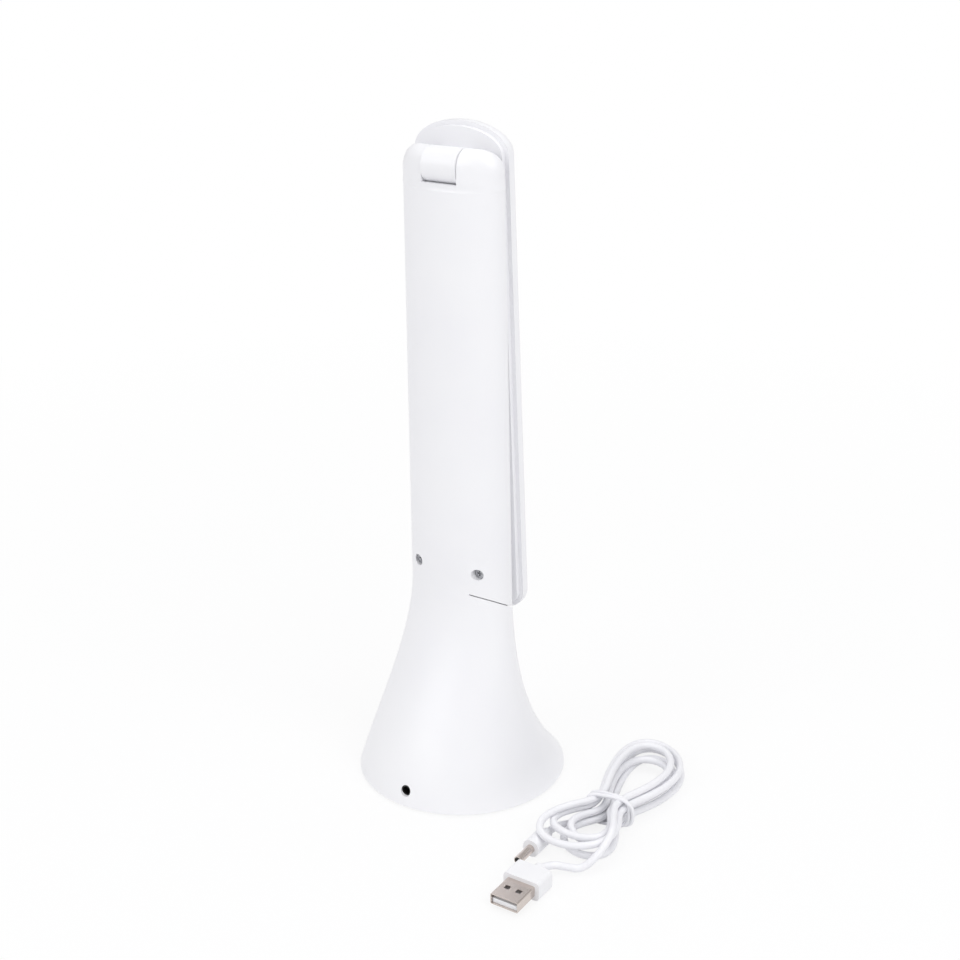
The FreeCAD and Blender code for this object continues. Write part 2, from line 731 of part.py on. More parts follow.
def head_outline(inset, top=None):
    """The head seen square on, from the hinge axis: arched top, tapered sides and rounded corners."""
    root = size("head_root_half_width")
    taper = (size("head_tip_half_width") - root) / size("head_length")
    low = -size("head_length") + inset
    radius = max(size("head_corner") - inset, 0.5)
    start = size("arch_start") if top is None else top

    def side(z):
        return root - taper * z - inset

    corner = side(low + radius)
    left, right = Vector(-side(start), start, 0), Vector(side(start), start, 0)
    low_left, low_right = Vector(-corner, low + radius, 0), Vector(corner, low + radius, 0)
    under_left, under_right = Vector(-corner + radius, low, 0), Vector(corner - radius, low, 0)
    bend = radius * (1 - math.sqrt(0.5))
    curves = [Part.LineSegment(left, low_left),
              Part.Arc(low_left, Vector(-corner + bend, low + bend, 0), under_left),
              Part.LineSegment(under_left, under_right),
              Part.Arc(under_right, Vector(corner - bend, low + bend, 0), low_right),
              Part.LineSegment(low_right, right)]
    if top is None:
        arch = Part.Ellipse(Vector(0, start, 0), side(start), size("arch_rise") - inset)
        curves.append(Part.ArcOfEllipse(arch, 0, math.pi))
    else:
        curves.append(Part.LineSegment(right, left))
    return curves


def head_shell():
    """The head's outer shell: rounded edges, a shallow room for the lights, and the hinge knuckle on its
    neck."""
    body = doc.addObject("PartDesign::Body", "head_body")
    inner_face = "ear_radius + head_gap + frame_thickness"
    form = pad(body, "head_pad", sketch(body, "head_sketch", "XZ_Plane", head_outline(0), inner_face),
               "shell_depth")
    doc.recompute()
    outer_face = size("ear_radius") + size("head_gap") + size("frame_thickness") + size("shell_depth")
    rim = ["Edge%d" % number for number, edge in enumerate(form.Shape.Edges, start=1)
           if abs(edge.BoundBox.YMin + outer_face) < 1e-4 and edge.BoundBox.YLength < 1e-4]
    rounded = body.newObject("PartDesign::Fillet", "head_edge")
    rounded.Base = (form, rim)
    bind(rounded, Radius="shell_edge")
    room = sketch(body, "room_sketch", "XZ_Plane", head_outline(size("shell_wall") + 2, -12), inner_face)
    pocket(body, "head_room", room, "cavity_depth")
    doc.recompute()
    knuckle = rod("knuckle", "ear_radius", "2 * knuckle_half_width", ("-knuckle_half_width", "0", "0"),
                  X_AXIS)
    neck = box("knuckle_neck", ("-knuckle_half_width", "-(%s) - 1" % inner_face, "-neck_half_height"),
               ("2 * knuckle_half_width", "%s + 1" % inner_face, "2 * neck_half_height"))
    bore = rod("knuckle_bore", "pin_radius + pin_gap + sleeve_wall + 0.02", "100", ("-50", "0", "0"), X_AXIS)
    whole = cut("head_at_axis", fuse("head_fused", body, knuckle, neck), bore)
    return node("head_shell", moved("head", whole, LEAN))


def head_inner_parts():
    """Frame, diffuser, light board and light chips, from the hinge axis outwards."""
    face = "ear_radius + head_gap"
    inset = size("frame_inset")
    window = size("window_inset")
    window_top = -size("window_top")
    frame = doc.addObject("PartDesign::Body", "frame_body")
    pad(frame, "frame_pad", sketch(frame, "frame_sketch", "XZ_Plane", head_outline(inset), face),
        "frame_thickness")
    pocket(frame, "frame_window",
           sketch(frame, "window_sketch", "XZ_Plane", head_outline(window, window_top), face),
           "frame_thickness")
    doc.recompute()
    gap = "knuckle_half_width + fit_gap"
    way = box("neck_way", ("-(%s)" % gap, "-50", "-neck_half_height - fit_gap"),
              ("2 * (%s)" % gap, "100", "2 * neck_half_height + 2 * fit_gap"))
    node("head_frame", moved("frame", cut("frame_at_axis", frame, way), LEAN))

    lens = doc.addObject("PartDesign::Body", "lens_body")
    clear = window + size("fit_gap")
    pad(lens, "lens_pad",
        sketch(lens, "lens_sketch", "XZ_Plane", head_outline(clear, window_top - size("fit_gap")),
                                 face + " + lens_sink"), "frame_thickness - lens_sink")
    flange = head_outline(window - size("lens_flange"), window_top + size("lens_flange"))
    pad(lens, "lens_flange_pad",
        sketch(lens, "lens_flange_sketch", "XZ_Plane", flange, face + " + frame_thickness"), "1")
    doc.recompute()
    node("diffuser", moved("lens", lens, LEAN))

    card = doc.addObject("PartDesign::Body", "card_body")
    floor = face + " + frame_thickness + cavity_depth"
    card_outline = head_outline(window, window_top)
    pad(card, "card_pad",
        sketch(card, "card_sketch", "XZ_Plane", card_outline, floor + " - led_board_thickness"),
        "led_board_thickness")
    doc.recompute()
    node("led_board", moved("card", card, LEAN))

    rows, columns = int(size("led_rows")), int(size("led_columns"))
    lit = size("head_length") - size("window_top") - 2 * window
    depth = size("ear_radius") + size("head_gap") + size("frame_thickness") + size("cavity_depth")
    chips = []
    for number in range(rows * columns):
        x = (number % columns - (columns - 1) / 2) * size("head_root_half_width") * 0.6
        z = window_top - window - lit * (number // columns) / (rows - 1)
        corner = Vector(x - size("led_size") / 2, -depth + size("led_board_thickness"),
                        z - size("led_size") / 2)
        chips.append(Part.makeBox(size("led_size"), size("led_height"), size("led_size"), corner))
    node("led_chips", shape("chips", Part.makeCompound(chips), LEAN))


def rounded_route(points):
    """Straight runs joined by tangent arcs, each arc as large as its two runs allow. Returns the wire and
    the radii."""
    edges = []
    radii = []
    start = points[0]
    for before, corner, after in zip(points, points[1:], points[2:]):
        back, ahead = before - corner, after - corner
        shorter = min(back.Length, ahead.Length)
        turn = math.pi - back.getAngle(ahead)
        reach = 0.45 * shorter
        radii.append(reach / math.tan(turn / 2))
        back.normalize()
        ahead.normalize()
        first, last = corner + back * reach, corner + ahead * reach
        inward = (back + ahead).normalize()
        middle = corner + inward * (radii[-1] / math.cos(turn / 2) - radii[-1])
        edges.append(Part.LineSegment(start, first).toShape())
        edges.append(Part.Arc(first, middle, last).toShape())
        start = last
    edges.append(Part.LineSegment(start, points[-1]).toShape())
    return Part.Wire(edges), radii


def tube(name, wire, radius):
    """A round tube along a wire, compared with its section times its length."""
    first = wire.OrderedEdges[0]
    start = first.valueAt(first.FirstParameter)
    ring = Part.Wire([Part.makeCircle(radius, start, first.tangentAt(first.FirstParameter))])
    solid = wire.makePipeShell([ring], True, False)
    if abs(solid.Volume / (math.pi * radius ** 2 * wire.Length) - 1) > 0.01:
        raise RuntimeError(name + ": the tube's volume is not its section times its length")
    return shape(name, solid)


def stem_lead():
    """The wire from the board up the inside of the stem to the hinge."""
    back = size("hinge_back") + 1.5
    start = size("socket_height") + size("socket_body") / 2 + size("board_thickness")
    board = size("board_back") + 3
    top = size("hinge_height") - size("ear_radius") - size("floor_gap") - 1
    foot_top = size("trumpet_height")
    route = [Vector(0, board, start), Vector(0, board, start + size("wire_rise")),
             Vector(0, board - size("wire_step"), foot_top - size("wire_bend_drop")),
             Vector(0, back, foot_top - size("wire_run_drop")), Vector(0, back, top)]
    wire, radii = rounded_route(route)
    print("stem lead radii", [round(radius, 1) for radius in radii])
    return node("stem_lead", tube("wire", wire, size("wire_radius")))


def lobe(name):
    """Bend, middle, waist run and slant of one lobe, with the slant that closes the turns up at the
    waist."""
    bend = size(name + "_bend")
    middle = size(name + "_reach") - bend
    run = size(name + "_run")
    spare = bend - HANK_LOOPS / 2 * size("hank_pitch")
    slant = 0.1
    for _ in range(40):
        slant = math.asin((spare - run * math.tan(slant / 2) * math.cos(slant)) / (middle - run))
    return bend, middle, run, slant


def hank_stop(half_turn, part):
    """A place on the hank and the way the cord heads there, for a part of a half turn that starts at the
    waist.

    Each half turn leaves the waist, slants outwards on a straight side, goes round the lobe's end and
    comes back. The turns lie side by side at one pitch: inwards on the lower layer, over the climb in the
    middle turn, and out again.
    """
    upper = half_turn % 2 == 0
    bend, middle, run, slant = lobe("upper" if upper else "lower")
    turns = (half_turn + part) / 2
    half = HANK_LOOPS / 2
    radius = bend - size("hank_pitch") * (half - abs(turns - half))
    waist = (radius - (middle - run) * math.sin(slant)) / math.cos(slant) - run * math.tan(slant / 2)
    stops = {0.0: (waist, 0.0, 0.0, 1.0),
             0.08: (waist + run * math.tan(slant / 2), run, math.sin(slant), math.cos(slant)),
             0.24: (radius * math.cos(slant), middle - radius * math.sin(slant), math.sin(slant),
                    math.cos(slant)),
             0.5: (0.0, middle + radius, -1.0, 0.0)}
    across, along, way_across, way_along = stops[round(min(part, 1 - part), 2)]
    if part > 0.5:
        across, way_along = -across, -way_along
    side = 1 if upper else -1
    middle_turn = 2 * half_turn == 2 * HANK_LOOPS - 1
    climb = (0.0, 0.5, 1.0)[1 + (part > 0.5) - (part < 0.5)] if middle_turn else float(turns > half)
    rise = 1.5 * size("layer_height") / (math.pi * radius) if middle_turn and part == 0.5 else 0.0
    lift = size("waist_lift") if part == 0 else 0.0
    point = Vector(size("hank_x") + side * across, size("hank_y") - side * along,
                   size("cord_radius") + size("layer_height") * climb + lift)
    return point, Vector(side * way_across, -side * way_along, rise).normalize()


def biarc(start, start_way, end, end_way):
    """Two arcs that leave one point and reach another along given directions."""
    span = end - start
    ways = start_way + end_way
    spread = 2 * (1 - start_way.dot(end_way))
    along = span.dot(ways)
    if spread < 1e-9:
        reach = span.dot(span) / (4 * span.dot(end_way))
    else:
        reach = (math.sqrt(along ** 2 + spread * span.dot(span)) - along) / spread
    corners = [start + start_way * reach, end - end_way * reach]
    joint = (corners[0] + corners[1]) * 0.5
    edges = []
    for first, corner, last in ((start, corners[0], joint), (joint, corners[1], end)):
        chord = (first + last) * 0.5
        sag = corner - chord
        half = (last - first).Length / 2
        if sag.Length < 1e-4 * half:
            edges.append(Part.LineSegment(first, last).toShape())
            continue
        angle = math.atan2(sag.Length, half)
        middle = chord + sag.normalize() * (half * math.tan(angle / 2))
        edges.append(Part.Arc(first, middle, last).toShape())
    return edges


def hank_wire():
    """The hank's centre line: biarcs from stop to stop, with short straight ends just past the waist."""
    last = int(2 * HANK_LOOPS)
    places = [(-1, HANK_PARTS[-1])]
    places += [(half_turn, part) for half_turn in range(last) for part in HANK_PARTS]
    places += [(last, part) for part in HANK_PARTS[:2]]
    stops = [hank_stop(*place) for place in places]
    edges = []
    for (start, start_way), (end, end_way) in zip(stops, stops[1:]):
        edges += biarc(start, start_way, end, end_way)
    straight = 2 * size("cord_radius")
    ends = []
    for (point, way), sign in ((stops[0], -1), (stops[-1], 1)):
        ends.append((point, point + way * sign * straight, way * sign))
    edges.insert(0, Part.LineSegment(ends[0][1], ends[0][0]).toShape())
    edges.append(Part.LineSegment(ends[1][0], ends[1][1]).toShape())
    return Part.Wire(edges), ends


def least_gap(wire, own_length):
    """The least gap between turns of a cord, measured on points along its centre line."""
    spacing = 1.5
    points = wire.discretize(Distance=spacing)
    skip = int(own_length / spacing)
    least = 1e9
    for number, point in enumerate(points):
        for other in points[number + skip:]:
            least = min(least, point.distanceToPoint(other))
    return least - 2 * size("cord_radius")


def charging_lead():
    """The lead as photographed: a hank drawn in at its waist by a tie, and two short tails to the plugs."""
    radius = size("cord_radius")
    wire, (dc_end, usb_end) = hank_wire()
    print("hank length", round(wire.Length, 1), "least gap", round(least_gap(wire, 25), 2))
    node("cable_hank", tube("hank", wire, radius))

    usb_axis = size("usb_grip_height") / 2
    level = 3 * radius + size("layer_height") + 0.5
    relief_back = size("usb_mouth") - size("usb_length") - size("usb_grip_length") - size("usb_relief_length")
    start, way = usb_end[1:]
    beside = start + way * 5
    usb_route = [start, beside, beside + Vector(-0.5, 6.1, level - 0.4 - start.z),
                 beside + Vector(2.3, 13.6, level - start.z),
                 Vector(size("usb_x") - 3, relief_back - 13.6, level - 1),
                 Vector(size("usb_x"), relief_back - 6.2, usb_axis),
                 Vector(size("usb_x"), relief_back, usb_axis)]
    dc_axis = size("dc_grip_radius") + 0.2
    dc_back = size("dc_tip") - size("dc_length") - size("dc_grip_length") - size("dc_relief_length")
    dc_route = [dc_end[1], dc_end[1] + dc_end[2] * 3.6, Vector(size("dc_x"), dc_back - 5, dc_axis),
                Vector(size("dc_x"), dc_back, dc_axis)]
    for name, route in (("cable_tail_usb", usb_route), ("cable_tail_dc", dc_route)):
        tail, radii = rounded_route(route)
        print(name, "length", round(tail.Length, 1), "radii", [round(value, 1) for value in radii])
        node(name, tube(name + "_tube", tail, radius))


def cable_tie():
    """A flat band round the hank's waist."""
    half = HANK_LOOPS / 2 * size("hank_pitch") * 1.02 + size("cord_radius") + size("tie_gap")
    low = size("waist_lift") - size("tie_gap")
    high = size("waist_lift") + 2 * size("cord_radius") + size("layer_height") + size("tie_gap")
    thick = size("tie_thickness")
    width = size("tie_width")
    bands = []
    for name, grow in (("tie_outside", thick), ("tie_inside", 0.0)):
        corner = Vector(size("hank_x") - half - grow, size("hank_y") - width / 2, low - grow)
        block = Part.makeBox(2 * (half + grow), width, high - low + 2 * grow, corner)
        edges = [edge for edge in block.Edges if abs(edge.BoundBox.YLength - width) < 1e-6]
        bands.append(shape(name, block.makeFillet(2.0 + grow, edges)))
    node("cable_tie", cut("tie", *bands))


def usb_plug():
    """The flat plug: folded sheet shell, contact tongue, and a grip with a ribbed relief."""
    axis = "usb_grip_height / 2"
    back = "usb_mouth - usb_length"
    low = "%s - usb_height / 2" % axis
    shell = box("usb_block", ("usb_x - usb_width / 2", back, low), ("usb_width", "usb_length", "usb_height"))
    doc.recompute()
    rounded = doc.addObject("Part::Fillet", "usb_rounded")
    rounded.Base = shell
    rounded.Edges = [(number, 0.6, 0.6) for number, edge in enumerate(shell.Shape.Edges, start=1)
                     if abs(edge.BoundBox.YLength - size("usb_length")) < 1e-6]
    room = box("usb_room", ("usb_x - usb_width / 2 + usb_sheet", back, "%s + usb_sheet" % low),
               ("usb_width - 2 * usb_sheet", "usb_length + 5", "usb_height - 2 * usb_sheet"))
    windows = [box("usb_window_%d" % (side + 1),
                   ("usb_x + %d * usb_width * 0.21 - 1.1" % side, back + " + 4.5", low + " + 2"),
                   ("2.2", "2.2", "usb_height")) for side in (-1, 1)]
    node("usb_shell", cut("usb_sleeve", rounded, room, *windows))
    node("usb_tongue",
         box("usb_card", ("usb_x - usb_width / 2 + usb_sheet + 0.1", back, "%s + usb_sheet + 0.02" % low),
                           ("usb_width - 2 * usb_sheet - 0.2", "usb_length - 0.8", "1.9")))
    grip = box("usb_grip_block", ("usb_x - usb_grip_width / 2", back + " - usb_grip_length", "0"),
               ("usb_grip_width", "usb_grip_length", "usb_grip_height"))
    doc.recompute()
    soft = doc.addObject("Part::Fillet", "usb_grip_soft")
    soft.Base = grip
    soft.Edges = [(number, 1.6, 1.6) for number, edge in enumerate(grip.Shape.Edges, start=1)
                  if abs(edge.BoundBox.YLength - size("usb_grip_length")) < 1e-6]
    relief = rod("usb_relief", "relief_radius", "usb_relief_length + 2",
                 ("usb_x", back + " - usb_grip_length - usb_relief_length", axis), Y_AXIS)
    node("usb_grip", fuse("usb_handle", soft, relief))


def dc_plug():
    """The round plug: metal sleeve with an insulated inner contact, and a barrel grip with its relief."""
    axis = "dc_grip_radius + 0.2"
    back = "dc_tip - dc_length"
    sleeve = rod("dc_barrel", "dc_radius", "dc_length", ("dc_x", back, axis), Y_AXIS)
    bore = rod("dc_barrel_bore", "dc_radius - 0.35", "20", ("dc_x", back + " + 0.5", axis), Y_AXIS)
    node("dc_plug_sleeve", cut("dc_sleeve", sleeve, bore))
    insert = rod("dc_core", "dc_radius - 0.37", "dc_length - 0.9", ("dc_x", back + " + 0.52", axis), Y_AXIS)
    hole = rod("dc_core_hole", "0.68", "20", ("dc_x", back + " + 1", axis), Y_AXIS)
    node("dc_plug_insert", cut("dc_insert", insert, hole))
    grip = rod("dc_grip_barrel", "dc_grip_radius", "dc_grip_length",
               ("dc_x", back + " - dc_grip_length", axis), Y_AXIS)
    relief = rod("dc_relief", "relief_radius", "dc_relief_length + 2",
                 ("dc_x", back + " - dc_grip_length - dc_relief_length", axis), Y_AXIS)
    node("dc_plug_grip", fuse("dc_handle", grip, relief))


base_shell()
base_plate()
base_plate_screws()
rubber_feet()
ballast_and_battery()
board_and_socket()
switch_parts()
stem_shell()
stem_front_panel()
stem_screws()
hinge_parts()
head_shell()
head_inner_parts()
stem_lead()
charging_lead()
cable_tie()
usb_plug()
dc_plug()
doc.recompute()

for thing in doc.Objects:
    if "Invalid" in thing.State or "Error" in thing.State:
        raise RuntimeError("%s failed: %s" % (thing.Label, thing.State))
for thing in nodes:
    if thing.Shape.isNull() or not thing.Shape.isValid() or not thing.Shape.Solids:
        raise RuntimeError(thing.Label + " has no valid solid")
os.makedirs("parts", exist_ok=True)
for thing in nodes:
    thing.Shape.exportStep("parts/%s.step" % thing.Label)
print(len(nodes), "sub-parts written")
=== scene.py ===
"""Dresses the folding desk lamp and its charging lead: finishes for the moulded solids, the lead's hank
with its tie and grips, a white floor, soft light and the camera of the photograph. Metres, in the frame
of the solids."""

import bpy
import numpy as np
from mathutils import Matrix


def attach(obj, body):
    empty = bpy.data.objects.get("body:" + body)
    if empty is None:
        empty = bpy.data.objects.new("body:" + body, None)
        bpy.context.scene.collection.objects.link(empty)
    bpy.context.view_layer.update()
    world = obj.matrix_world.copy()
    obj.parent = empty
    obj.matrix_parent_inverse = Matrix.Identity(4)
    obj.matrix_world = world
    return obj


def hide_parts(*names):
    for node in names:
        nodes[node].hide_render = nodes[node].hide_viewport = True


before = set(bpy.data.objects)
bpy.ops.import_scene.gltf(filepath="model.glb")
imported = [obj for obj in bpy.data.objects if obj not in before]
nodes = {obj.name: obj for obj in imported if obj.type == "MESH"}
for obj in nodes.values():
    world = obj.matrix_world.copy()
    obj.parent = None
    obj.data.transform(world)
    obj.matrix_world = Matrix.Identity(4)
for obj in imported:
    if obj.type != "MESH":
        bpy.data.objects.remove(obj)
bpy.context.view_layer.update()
MM = 0.001


def linear(code):
    """An sRGB hex colour as linear red, green, blue and alpha."""
    parts = np.array([int(code[place:place + 2], 16) for place in (1, 3, 5)]) / 255
    return (*np.where(parts <= 0.04045, parts / 12.92, ((parts + 0.055) / 1.055) ** 2.4), 1.0)


def add(tree, kind, values=None, **settings):
    """Adds a node with its settings. A value that is a socket is linked, any other is set on the
    input."""
    node = tree.nodes.new(kind)
    for name, value in settings.items():
        setattr(node, name, value)
    for name, value in (values or {}).items():
        if isinstance(value, bpy.types.NodeSocket):
            tree.links.new(value, node.inputs[name])
        else:
            node.inputs[name].default_value = value
    return node


def finish_of(name, patches=(), **values):
    """A material with its shader's own numbers set. Returns the material, the place of each point in
    millimetres, and soft noise for each patch size given in millimetres."""
    made = bpy.data.materials.new(name)
    made.use_nodes = True
    tree = made.node_tree
    shader = tree.nodes["Principled BSDF"]
    for key, value in values.items():
        shader.inputs[key.replace("_", " ")].default_value = value
    spot = add(tree, "ShaderNodeTexCoord").outputs["Object"]
    in_mm = add(tree, "ShaderNodeVectorMath", {0: spot, 1: (1000, 1000, 1000)}, operation="MULTIPLY")
    place = in_mm.outputs[0]
    clouds = [add(tree, "ShaderNodeTexNoise", {"Vector": place, "Scale": 1 / size}).outputs["Fac"]
              for size in patches]
    return made, place, clouds


def surface(made, tones, sheen=None, grain=None):
    """Colours a material between two hex colours by a pattern. A second pattern may carry the roughness
    from one value to another, and a third may raise the surface by a depth in millimetres."""
    tree = made.node_tree
    shader = tree.nodes["Principled BSDF"]
    pattern, dark, light = tones
    mix = add(tree, "ShaderNodeMix", {"Factor": pattern}, data_type="RGBA")
    mix.inputs["A"].default_value = linear(dark)
    mix.inputs["B"].default_value = linear(light)
    tree.links.new(mix.outputs["Result"], shader.inputs["Base Color"])
    if sheen:
        pattern, low, high = sheen
        spread = add(tree, "ShaderNodeMapRange", {"Value": pattern, "To Min": low, "To Max": high})
        tree.links.new(spread.outputs["Result"], shader.inputs["Roughness"])
    if grain:
        pattern, depth = grain
        bump = add(tree, "ShaderNodeBump", {"Height": pattern, "Distance": depth * MM, "Strength": 1.0})
        tree.links.new(bump.outputs["Normal"], shader.inputs["Normal"])
    return made


def white_abs():
    """Injection-moulded ABS, polished tool: a soft sheen, a very faint flow cloud, and a grain of 0.7 mm.
    The real grain is finer and is drawn this coarse to show."""
    made, _, (flow, sheen, grain) = finish_of("abs_moulded_white", (38, 5, 0.7), IOR=1.53)
    return surface(made, (flow, "#ededf1", "#f4f4f6"), (sheen, 0.27, 0.38), (grain, 0.012))


def opal_acrylic():
    """Opal acrylic sheet with a fine prism grid of 1.6 mm: milky, a little light carried under the
    surface."""
    made, place, (milk,) = finish_of("acrylic_opal", (25,), IOR=1.49, Roughness=0.3, Subsurface_Weight=0.25,
                                     Subsurface_Radius=(0.002, 0.002, 0.0018))
    prisms = add(made.node_tree, "ShaderNodeTexVoronoi",
                 {"Vector": place, "Scale": 1 / 1.6, "Randomness": 0.0})
    return surface(made, (milk, "#efeee9", "#f5f4f0"), grain=(prisms.outputs["Distance"], 0.05))


def cord_jacket():
    """Extruded soft PVC: even white, satin, with a slow waviness of a few millimetres from being wound
    up."""
    made, _, (tone, sheen, wave) = finish_of("pvc_jacket_white", (12, 3, 2.2), IOR=1.52)
    return surface(made, (tone, "#eaeaef", "#f2f2f5"), (sheen, 0.38, 0.5), (wave, 0.03))


def moulded_grip():
    """Over-moulded PVC grip: satin white with a spark-eroded grain of half a millimetre."""
    made, _, (tone, sheen, grain) = finish_of("pvc_grip_white", (9, 2, 0.5), IOR=1.52)
    return surface(made, (tone, "#ececf0", "#f3f3f5"), (sheen, 0.4, 0.52), (grain, 0.02))


def nickel_plate():
    """Bright nickel on folded sheet: warm grey mirror, drawn along the plug in lines of 0.3 mm."""
    made, place, _ = finish_of("nickel_plate_bright", Metallic=1.0)
    drawn = add(made.node_tree, "ShaderNodeMapping", {"Vector": place, "Scale": (3.3, 0.12, 3.3)}).outputs[0]
    lines = add(made.node_tree, "ShaderNodeTexNoise", {"Vector": drawn, "Scale": 1.0}).outputs["Fac"]
    return surface(made, (lines, "#c9beb8", "#ded5cf"), (lines, 0.16, 0.3), (lines, 0.004))


def zinc_screw():
    """Zinc-plated steel screw: pale grey metal, slightly mottled."""
    made, _, (mottle,) = finish_of("zinc_plate_screw", (0.6,), Metallic=1.0)
    return surface(made, (mottle, "#a3a4a8", "#c4c5c8"), (mottle, 0.24, 0.4))


def rolled_steel():
    """Cold-rolled steel blank with rolling lines half a millimetre apart."""
    made, place, _ = finish_of("steel_cold_rolled", Metallic=1.0)
    rolled = add(made.node_tree, "ShaderNodeMapping", {"Vector": place, "Scale": (2.0, 0.05, 2.0)}).outputs[0]
    lines = add(made.node_tree, "ShaderNodeTexNoise", {"Vector": rolled, "Scale": 1.0}).outputs["Fac"]
    return surface(made, (lines, "#6d6e71", "#85868a"), (lines, 0.32, 0.46))


def sleeve_brass():
    """Turned brass with fine tool rings."""
    made, place, _ = finish_of("brass_turned", Metallic=1.0)
    wave = add(made.node_tree, "ShaderNodeTexWave", {"Vector": place, "Scale": 1 / 0.6, "Distortion": 0.4})
    rings = wave.outputs["Fac"]
    return surface(made, (rings, "#b08a45", "#c7a35c"), (rings, 0.25, 0.38))


def black_nylon():
    """Moulded black nylon: dark satin with a faint grain."""
    made, _, (tone, sheen) = finish_of("nylon_moulded_black", (3, 0.8), IOR=1.53)
    return surface(made, (tone, "#0a0a0b", "#161617"), (sheen, 0.38, 0.55))


def foot_rubber():
    """Die-cut silicone rubber pad: dark, matt and slightly dusty."""
    made, _, (dust, sheen, grain) = finish_of("silicone_rubber_dark", (2.5, 1.2, 0.4), IOR=1.43)
    return surface(made, (dust, "#1d1d1e", "#2b2b2c"), (sheen, 0.6, 0.8), (grain, 0.03))


def solder_mask():
    """Glass-epoxy board under green solder mask, with raised copper tracks 1.2 mm apart."""
    made, place, _ = finish_of("glass_epoxy_green_mask", IOR=1.5, Roughness=0.32)
    bricks = add(made.node_tree, "ShaderNodeTexBrick",
                 {"Vector": place, "Scale": 1 / 2.4, "Mortar Size": 0.08})
    tracks = bricks.outputs["Fac"]
    return surface(made, (tracks, "#1c5433", "#2f7a4a"), grain=(tracks, 0.035))


def led_phosphor():
    """Silicone gel with yellow phosphor: pale yellow, glossy, speckled."""
    made, _, (speckle,) = finish_of("silicone_gel_phosphor", (0.4,), IOR=1.41, Roughness=0.2)
    return surface(made, (speckle, "#e6c748", "#f2de83"))


def cell_sleeve():
    """Heat-shrunk PVC sleeve on a battery can: glossy blue, faint shrink wrinkles."""
    made, _, (tone, wrinkle) = finish_of("pvc_shrink_sleeve_blue", (8, 1.5), IOR=1.53, Roughness=0.25)
    return surface(made, (tone, "#2f4f86", "#3b5f9c"), grain=(wrinkle, 0.03))


ABS, OPAL, JACKET, GRIP = white_abs(), opal_acrylic(), cord_jacket(), moulded_grip()
NICKEL, ZINC, STEEL, BRASS = nickel_plate(), zinc_screw(), rolled_steel(), sleeve_brass()
NYLON, RUBBER, BOARD = black_nylon(), foot_rubber(), solder_mask()
PHOSPHOR, CELL = led_phosphor(), cell_sleeve()
FINISHES = {
    ABS: ("base_shell", "base_plate", "stem_shell", "stem_front_panel", "hinge_pin_cap", "head_shell",
          "head_frame", "power_button"),
    OPAL: ("diffuser",),
    GRIP: ("usb_grip", "usb_tongue", "dc_plug_grip"),
    JACKET: ("cable_hank", "cable_tail_usb", "cable_tail_dc", "cable_tie"),
    NICKEL: ("usb_shell", "dc_plug_sleeve", "dc_jack_contact"),
    ZINC: ("stem_screws", "base_plate_screws", "hinge_pin"),
    STEEL: ("ballast_disc",),
    BRASS: ("friction_sleeves",),
    NYLON: ("dc_jack", "dc_plug_insert", "battery_cradle", "tact_switch", "stem_lead"),
    RUBBER: ("rubber_feet",),
    BOARD: ("control_board", "switch_board", "led_board"),
    PHOSPHOR: ("led_chips",),
    CELL: ("battery_cell",),
}
for finish, names in FINISHES.items():
    for name in names:
        nodes[name].data.materials.clear()
        nodes[name].data.materials.append(finish)


def closed_grid(name, places, finish, body):
    """A mesh on a grid of places (rows, columns, 3) in metres, joined round in both directions."""
    rows, columns = places.shape[:2]
    first, second = np.meshgrid(np.arange(rows), np.arange(columns), indexing="ij")
    below, beside = (first + 1) % rows, (second + 1) % columns
    quads = np.stack([first * columns + second, first * columns + beside, below * columns + beside,
                      below * columns + second], axis=-1).reshape(-1, 4)
    mesh = bpy.data.meshes.new(name)
    mesh.from_pydata(places.reshape(-1, 3).tolist(), [], quads.tolist())
    mesh.polygons.foreach_set("use_smooth", np.ones(len(quads), dtype=bool))
    mesh.materials.append(finish)
    piece = bpy.data.objects.new(name, mesh)
    bpy.context.collection.objects.link(piece)
    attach(piece, body)
    return piece


# The lead in millimetres: its route from the round plug to the hank and from the hank to the flat plug,
# then the hank. Each strand has its place across the tied waist. Each half turn has its own reach along
# the lobe, breadth, lean and sway, and upper and lower lobe take turns.
CORD_RADIUS = 1.5
TIE_RADIUS = 0.8
WAIST = np.array([-77.0, 9.5])
DC_TAIL = [(-62.2, 33.0, 3.8), (-62.2, 27.0, 3.8), (-67.0, 19.0, 2.4)]
USB_TAIL = [(-84.5, 19.5, 6.0), (-89.5, 29.0, 4.0), (-89.0, 38.0, 2.2), (-85.0, 44.5, 2.2),
            (-79.5, 47.5, 3.0), (-74.5, 50.0, 3.9), (-72.0, 54.6, 3.9)]
FLOOR_GAP = 0.1
STRAND_SPACING = 3.2
HALF_TURNS = 9
STEPS = 8
STRAND_ACROSS = np.array([3.0, -3.0, 0.0, -1.5, 1.5, 0.0, 4.5, -4.5, 3.0, -3.0])
REACH = np.array([60.5, 27.0, 53.5, 22.0, 46.5, 26.0, 57.0, 33.0, 50.0])
BREADTH = np.array([26.5, 19.0, 21.0, 16.0, 21.0, 22.0, 26.0, 25.0, 20.5])
LEAN = np.array([0.0, 0.0, 0.0, 0.0, 0.0, 4.0, 0.0, 7.0, 0.0])
SWAY = np.array([0.9, 0.0, 0.5, 0.0, 0.3, 0.0, 0.8, 0.0, 0.5])
SWAY_OUT, SWAY_BACK = 11.0, 2.5
ROUND_PLUG = np.array([-62.2, 39.0])
PLUG_RADIUS, PLUG_HALF_LENGTH, PLUG_HEIGHT = 3.6, 8.0, 3.8
TIE_HUMP, PLUG_HUMP, PLUG_HUMP_POWER = 7.0, 6.5, 2.5
